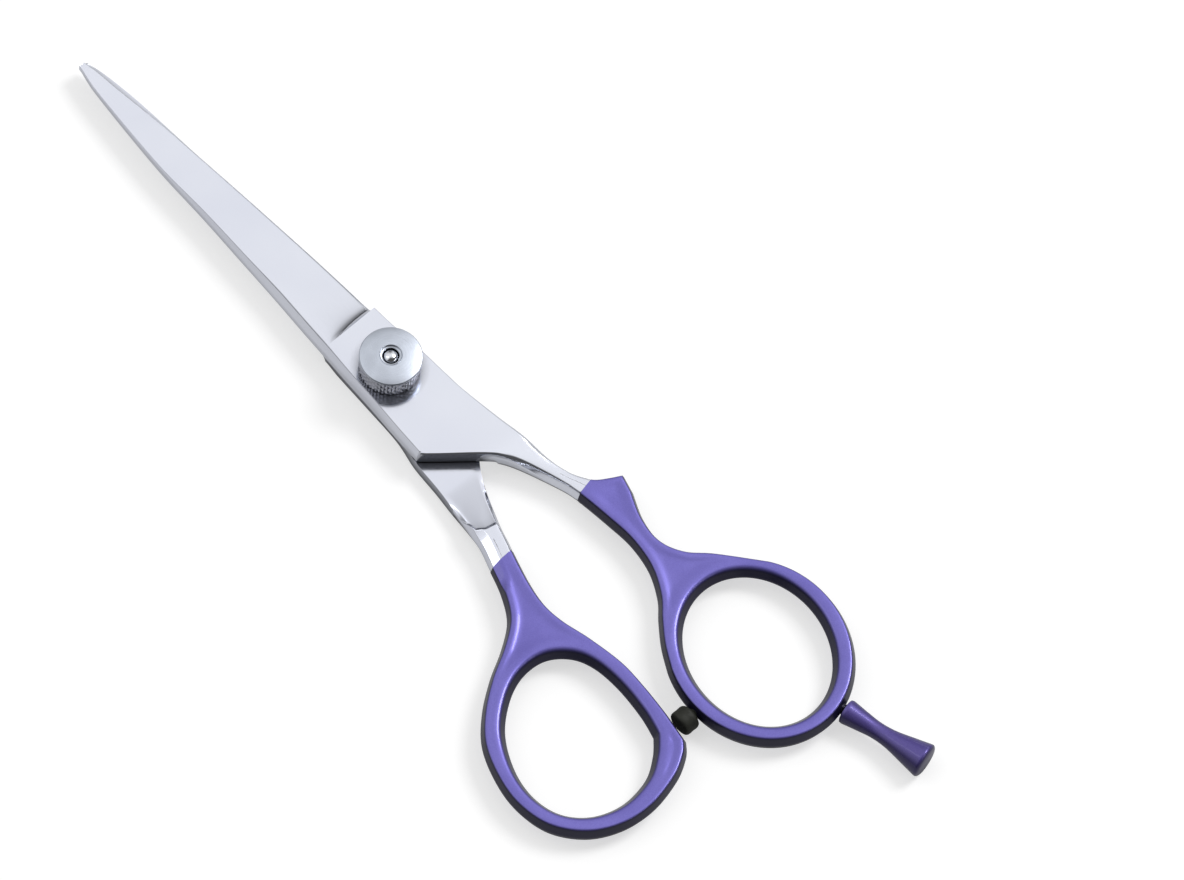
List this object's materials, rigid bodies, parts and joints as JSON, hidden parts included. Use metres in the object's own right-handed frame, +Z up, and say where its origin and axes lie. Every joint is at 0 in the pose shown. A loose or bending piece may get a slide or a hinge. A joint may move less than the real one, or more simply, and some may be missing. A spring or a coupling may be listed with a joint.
{
  "type": "hairdressing shears",
  "caption": "Slim hair-cutting shears with pointed straight-edged blades, a hand-turned tension nut, two coated finger rings, a rubber stop and a screw-in finger rest.",
  "frame": {"origin": "on the pivot axis, at the flat underside of the pivot screw's head, which is the plane the shears lie on", "axes": "+Y along the closed blades towards their points, +X towards the finger ring, +Z up along the pivot through the tension nut"},
  "size_m": [0.0581, 0.1668, 0.0101],
  "materials": {
    "polished_steel": "mirror-polished stainless steel",
    "purple_enamel": "glossy pearly enamel over steel",
    "rest_enamel": "glossy pearly enamel over turned metal",
    "screw_steel": "turned steel",
    "nut_steel": "turned face, knurled rim",
    "nylon": "moulded",
    "rubber": "moulded black rubber"
  },
  "bodies": {
    "finger_half": {"finger_blade": "polished_steel", "finger_handle": "purple_enamel", "spring_washer": "screw_steel", "pivot_washer": "nylon", "bumper": "rubber"},
    "thumb_half": {"thumb_blade": "polished_steel", "thumb_handle": "purple_enamel", "pivot_screw": "screw_steel"},
    "tension_nut": {"thumb_nut": "nut_steel"},
    "rest": {"finger_rest": "rest_enamel", "finger_rest_stud": "screw_steel"}
  },
  "joints": [
    {"name": "blade_pivot", "type": "hinge", "parent": "finger_half", "child": "thumb_half", "pos_m": [0, 0, 0.0028], "axis": [0, 0, -1], "range_deg": [0, 70]},
    {"name": "tension_nut_turn", "type": "hinge", "parent": "thumb_half", "child": "tension_nut", "pos_m": [0, 0, 0.0075], "axis": [0, 0, 1], "range_deg": [-90, 360]},
    {"name": "finger_rest_turn", "type": "hinge", "parent": "finger_half", "child": "rest", "pos_m": [0.0136, -0.0846, 0.0028], "axis": [0.2313, -0.9729, 0], "range_deg": [0, 360]}
  ]
}
